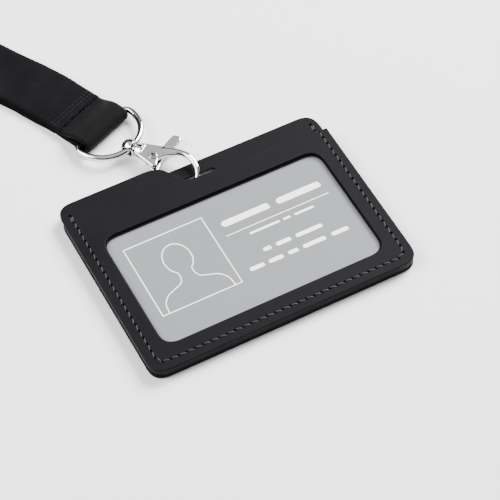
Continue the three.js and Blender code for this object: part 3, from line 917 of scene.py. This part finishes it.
# a plain head and shoulders, symmetrical about the box's middle
head_x, head_y, head_wide, head_high = box_centre.x, 0.9, 4.7, 6.0
neck, neck_low, shoulder = 2.5, -6.6, 11.6
half_line = [Vector((shoulder, PORTRAIT_BOX["bottom"] + grow)), Vector((shoulder - 0.5, -13.2))]
half_line += [Vector((shoulder - 2.6, -10.6)), Vector((shoulder - 6.0, -9.2))]
half_line += [Vector((neck + 0.9, -8.2)), Vector((neck, neck_low))]
chin = math.radians(-58)
for step in range(13):
    angle = chin + (math.pi / 2 - chin) * step / 12
    half_line.append(Vector((head_wide * math.cos(angle), head_y + head_high * math.sin(angle))))
right_side = [Vector((head_x + p.x, p.y, 0)) for p in half_line]
left_side = [Vector((head_x - p.x, p.y, 0)) for p in half_line[:-1]]
outline = resample(catmull(right_side + left_side[::-1], 6), 0.5)
ink.stroke([p.to_2d() for p in outline], INK_WIDTH)

ink.stroke([Vector((-2.7, 1.35)), Vector((16, 1.35)), Vector((34.8, 1.35))], 0.3)
for left, right, middle_y, tall in (
    (-2.0, 15.6, 6.0, 2.4),
    (18.0, 34.4, 6.0, 2.4),
    (4.4, 15.4, -1.25, 0.85),
    (16.6, 19.4, -1.25, 0.85),
    (20.8, 28.0, -1.25, 0.85),
    (5.2, 8.2, -9.0, 1.5),
    (9.8, 15.4, -9.0, 1.5),
    (17.0, 26.8, -9.0, 1.5),
    (-2.2, 3.2, -13.9, 1.5),
    (4.6, 10.0, -13.9, 1.5),
    (11.6, 15.4, -13.9, 1.5),
    (17.0, 25.4, -13.9, 1.5),
    (27.4, 33.8, -13.9, 1.5),
):
    ink.bar(left, right, middle_y, tall)
stands_for(ink.finish("card_print"), "card", "card")


# ---------- metal ----------


RIVET_HOLLOW = 0.85
RIVET_DEPTH = 0.6


def recast(name, node, voxel, rounds, material, body, slot_name):
    """A casting's skin over a CAD piece: its edges rounded and its joins filleted."""
    source = nodes[node]
    piece = bpy.data.objects.new(name, source.data.copy())
    scene.collection.objects.link(piece)
    remesh = piece.modifiers.new("skin", "REMESH")
    remesh.mode = "VOXEL"
    remesh.voxel_size = voxel * MM
    remesh.use_smooth_shade = True
    smooth = piece.modifiers.new("polish", "SMOOTH")
    smooth.factor = 0.5
    smooth.iterations = rounds
    apply_modifiers(piece)
    piece.data.materials.clear()
    piece.data.materials.append(material)
    piece.data.polygons.foreach_set("use_smooth", [True] * len(piece.data.polygons))
    return stands_for(piece, body, slot_name, node)


recast("hook_casting", "hook_body", 0.15, 5, CHROME, "hook", "chrome")
recast("gate_casting", "gate_lever", 0.13, 5, CHROME, "gate", "chrome")
recast("eye_casting", "swivel_eye", 0.11, 2, CHROME, "eye", "chrome")
recast("eye_washer", "swivel_washer", 0.08, 4, CHROME, "eye", "chrome")
recast("ring_wire", "d_ring", 0.15, 9, CHROME, "ring", "chrome")
rivet = recast("pivot_rivet", "gate_rivet", 0.07, 3, CHROME, "hook", "steel")
rivet_low, rivet_high = box_mm("gate_rivet")
rivet_middle = (rivet_low + rivet_high) / 2
# the faces in the rivet's hollow take the darker satin steel: painted shade inside the hollow
rivet.data.materials.append(STEEL)
for face in rivet.data.polygons:
    spot = face.center / MM
    reach = math.hypot(spot.x - rivet_middle.x, spot.y - rivet_middle.y)
    if reach < RIVET_HOLLOW and spot.z > rivet_high.z - RIVET_DEPTH:
        face.material_index = 1


spring_low, spring_high = box_mm("gate_spring")
spring_centre = (spring_low + spring_high) / 2
spring_radius = (spring_high.x - spring_low.x) / 2 - 0.15
SPRING_WIRE = 0.1
spring_line = []
for step in range(73):
    angle = 2 * math.pi * step / 24
    x = spring_centre.x + spring_radius * math.cos(angle)
    y = spring_centre.y + spring_radius * math.sin(angle)
    z = spring_low.z + SPRING_WIRE + (spring_high.z - spring_low.z - 2 * SPRING_WIRE) * step / 72
    spring_line.append(Vector((x, y, z)))


def add_wire(name, line, radius, material, sides=10):
    """Round wire along a polyline, in millimetres, with domed ends."""
    vertices, faces = [], []
    for i, (spot, heading) in enumerate(zip(line, tangents(line))):
        side = heading.cross(UP).normalized() if abs(heading.z) < 0.95 else Vector((1, 0, 0))
        over = side.cross(heading).normalized()
        girth = radius * (0.55 if i in (0, len(line) - 1) else 1)
        for k in range(sides):
            turn = 2 * math.pi * k / sides
            vertices.append(spot + side * (girth * math.cos(turn)) + over * (girth * math.sin(turn)))
    for i in range(len(line) - 1):
        for k in range(sides):
            m = (k + 1) % sides
            faces.append((i * sides + k, i * sides + m, (i + 1) * sides + m, (i + 1) * sides + k))
    faces.append(tuple(range(sides - 1, -1, -1)))
    faces.append(tuple((len(line) - 1) * sides + k for k in range(sides)))
    return face_outward(add_mesh(name, vertices, faces, material))


spring = add_wire("torsion_spring", spring_line, SPRING_WIRE, STEEL)
stands_for(spring, "hook", "steel", "gate_spring")


# ---------- fold, seam and tie ----------

seam_point = Vector((*LEG_ROUTE[0], 0))
fold_away = Vector((seam_point.x - BAR_CENTRE.x, seam_point.y - BAR_CENTRE.y, 0)).normalized()
fold_across = -left_of(fold_away)
FOLD = {"length": 11.8, "reach": 3.2, "crest": 5.05}
FOLD_END = FOLD["length"] - 0.4


def fold_station(back, height, tilt):
    centre = Vector((BAR_CENTRE.x, BAR_CENTRE.y, height)) + fold_away * back
    return (centre, fold_across, UP * math.cos(tilt) + fold_away * math.sin(tilt))


def fold_stations():
    """In along the bottom, round the bar, over a soft crest and down into a dip before the seam."""
    low, crest = STRAP_THICK / 2, FOLD["crest"]
    made = [fold_station(FOLD_END * (1 - i / 12), low, 0) for i in range(12)]
    for i in range(21):
        turn = math.pi * i / 20
        height = low + (crest - low) * (1 - math.cos(turn)) / 2
        made.append(fold_station(-FOLD["reach"] * math.sin(turn), height, turn))
    for i in range(1, 21):
        back = FOLD_END * i / 20
        share = smoother(back / (FOLD_END - 1.0))
        slope = 0.42 * math.sin(math.pi * min(back / (FOLD_END - 1.0), 1.0)) ** 2
        made.append(fold_station(back, crest + (UPPER_HEIGHT - crest) * share, math.pi + slope))
    return made


fold = add_ribbon("ring_fold", fold_stations(), STRAP_WIDTH, STRAP_THICK, FOLD_WEAVE, wander=0.25)
stands_for(fold, "strap", "webbing", "strap_fold")

SEAM_ROWS = (0.9, 2.2)
SEAM_STITCHES = 13
SEAM_HALF = 8.6
SEAM_SIDES = 6
seam_spots = []
for row in SEAM_ROWS:
    for i in range(SEAM_STITCHES):
        side = SEAM_HALF * (2 * i / (SEAM_STITCHES - 1) - 1)
        seam_spots.append(seam_point + fold_away * row + fold_across * side)
vertices, faces = [], []
for spot in seam_spots:
    first = len(vertices)
    for i in range(5):
        t = i / 4 - 0.5
        lift = 0.09 * math.cos(math.pi * t)
        centre = spot + fold_across * (t * 1.15) + UP * (UPPER_HEIGHT + STRAP_THICK / 2 + lift)
        for k in range(SEAM_SIDES):
            turn = 2 * math.pi * k / SEAM_SIDES
            vertices.append(centre + fold_away * (0.14 * math.cos(turn)) + UP * (0.12 * math.sin(turn)))
    for i in range(4):
        low, high = first + i * SEAM_SIDES, first + (i + 1) * SEAM_SIDES
        for k in range(SEAM_SIDES):
            m = (k + 1) % SEAM_SIDES
            faces.append((low + k, low + m, high + m, high + k))
    faces.append(tuple(first + k for k in range(SEAM_SIDES - 1, -1, -1)))
    faces.append(tuple(first + 4 * SEAM_SIDES + k for k in range(SEAM_SIDES)))
seam = add_mesh("seam_thread_rows", vertices, faces, SEAM_THREAD)
stands_for(seam, "strap", "webbing_thread", "seam_stitching")

TIE = {"inner": 13.7, "outer": 46.4, "bottom": 0.3, "top": 21.3, "width": 12.0, "thick": 0.6}
coil_middle = leg_line[-1] + left_of(leg_headings[-1]) * COIL_RADIUS
tie_out = (coil_middle - leg_line[-1]).normalized()
tie_along = UP.cross(tie_out)


def tie_stations(outline, away=0.0):
    """Stations of a band round the coil, on an outline of (distance from the middle, height) points."""
    made = []
    for spot, heading in zip(outline, tangents(outline)):
        centre = coil_middle + tie_out * spot.x + UP * spot.y
        through = tie_out * heading.y - UP * heading.x
        made.append((centre + through * away, tie_along, through))
    return made


tie_loop = thicken(rectangle(TIE["inner"], TIE["bottom"], TIE["outer"], TIE["top"], 1.3), 1.5)
half_way = next(i for i, p in enumerate(tie_loop) if p.y > TIE["top"] - 0.01 and p.x < 32)
tie_loop = tie_loop[half_way:] + tie_loop[: half_way + 1]
tie = add_ribbon("tie_band", tie_stations(tie_loop), TIE["width"], TIE["thick"], FOLD_WEAVE, wander=0.1)
stands_for(tie, "strap", "webbing", "strap_tie")
tab_line = [Vector((42.0 - 2.0 * i, TIE["top"])) for i in range(11)]
tab = add_ribbon("tie_tab", tie_stations(tab_line, 0.34), TIE["width"] - 0.6, 0.24, STRAP_WEAVE, wander=0.1)
stands_for(tab, "strap", "webbing")
TAB_STITCH = {"first": 23.6, "pitch": 2.0, "length": 1.4, "count": 9, "inset": 1.1}
tie_threads = []
for aside in (-1, 1):
    for i in range(TAB_STITCH["count"]):
        row = coil_middle + tie_along * (aside * (TIE["width"] / 2 - TAB_STITCH["inset"]))
        row += UP * (TIE["top"] + 0.5)
        start = row + tie_out * (TAB_STITCH["first"] + i * TAB_STITCH["pitch"])
        end = start + tie_out * TAB_STITCH["length"]
        line = [start, (start + end) / 2 + UP * 0.05, end]
        tie_threads.append(add_wire(f"tie_stitch_{len(tie_threads)}", line, 0.13, SEAM_THREAD, 6))
with bpy.context.temp_override(active_object=tie_threads[0], selected_editable_objects=tie_threads):
    bpy.ops.object.join()
tie_threads[0].name = "tie_stitches"
stands_for(tie_threads[0], "strap", "webbing_thread")


# ---------- stage ----------


def add_floor():
    shader = Shader("floor", (0.88, 0.88, 0.89), 0.7, Specular_IOR_Level=0.2)
    tone = shader.noise(shader.place(), 3, 2)
    shader.link(shader.mix(tone, (0.87, 0.87, 0.88), (0.89, 0.89, 0.9)), "Base Color")
    size = 3000.0
    corners = [(-size, -size, -0.02), (size, -size, -0.02), (size, size, -0.02), (-size, size, -0.02)]
    floor = add_mesh("floor", corners, [(0, 1, 2, 3)], shader.material)


def add_light(name, place, size, energy, target=(0, 0, 0)):
    data = bpy.data.lights.new(name, "AREA")
    data.shape = "RECTANGLE"
    data.size, data.size_y = size
    data.energy = energy
    light = bpy.data.objects.new(name, data)
    scene.collection.objects.link(light)
    light.location = place
    light.rotation_euler = (Vector(target) - Vector(place)).to_track_quat("-Z", "Y").to_euler()


add_floor()
add_light("key", (0.92, 0.42, 0.85), (0.7, 0.7), 66)
add_light("fill", (-0.8, 0.3, 0.85), (0.9, 0.7), 26)
world = bpy.data.worlds.new("studio")
scene.world = world
world.use_nodes = True
sky = world.node_tree
height_of = sky.nodes.new("ShaderNodeSeparateXYZ")
sky.links.new(sky.nodes.new("ShaderNodeTexCoord").outputs["Generated"], height_of.inputs[0])
bands = sky.nodes.new("ShaderNodeValToRGB")
sky.links.new(height_of.outputs["Z"], bands.inputs["Fac"])
bands.color_ramp.elements[0].color = (0.3, 0.3, 0.31, 1)
for position, tone in ((0.08, 0.4), (0.2, 0.02), (0.6, 0.03), (0.78, 0.75)):
    bands.color_ramp.elements.new(position).color = (tone, tone, tone * 1.02, 1)
bands.color_ramp.elements[-1].color = (0.8, 0.8, 0.82, 1)
sky.links.new(bands.outputs["Color"], sky.nodes["Background"].inputs["Color"])
sky.nodes["Background"].inputs["Strength"].default_value = 1.0
